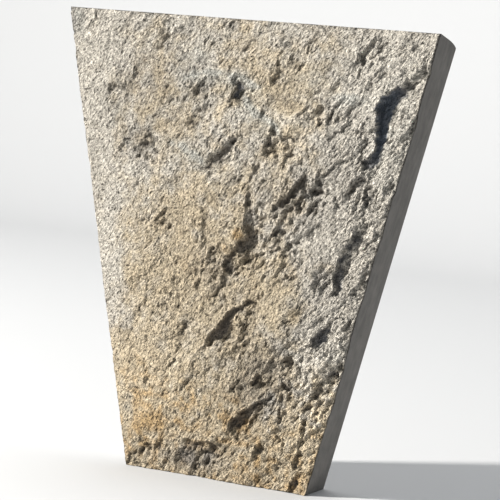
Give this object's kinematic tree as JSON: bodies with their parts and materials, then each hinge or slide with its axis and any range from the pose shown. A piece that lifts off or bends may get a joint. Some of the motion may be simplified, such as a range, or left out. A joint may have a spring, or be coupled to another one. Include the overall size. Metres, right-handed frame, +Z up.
{
  "type": "rockface keystone",
  "caption": "Tapered keystone with a split rock face, flat sides and a flat back, for the crown of an arch or window head.",
  "frame": {"origin": "on the level that the stone stands on, below the middle of its bounding box", "axes": "+Z up from the narrow foot to the wide head, -Y out of the rock face, +Y out of the flat back, +X to the right as the rock face is looked at"},
  "size_m": [0.264, 0.0504, 0.305],
  "materials": {
    "stone": "rough split face in buff with grey and ochre patches, smooth cast sides"
  },
  "bodies": {
    "root": {"keystone": "stone"}
  },
  "joints": []
}
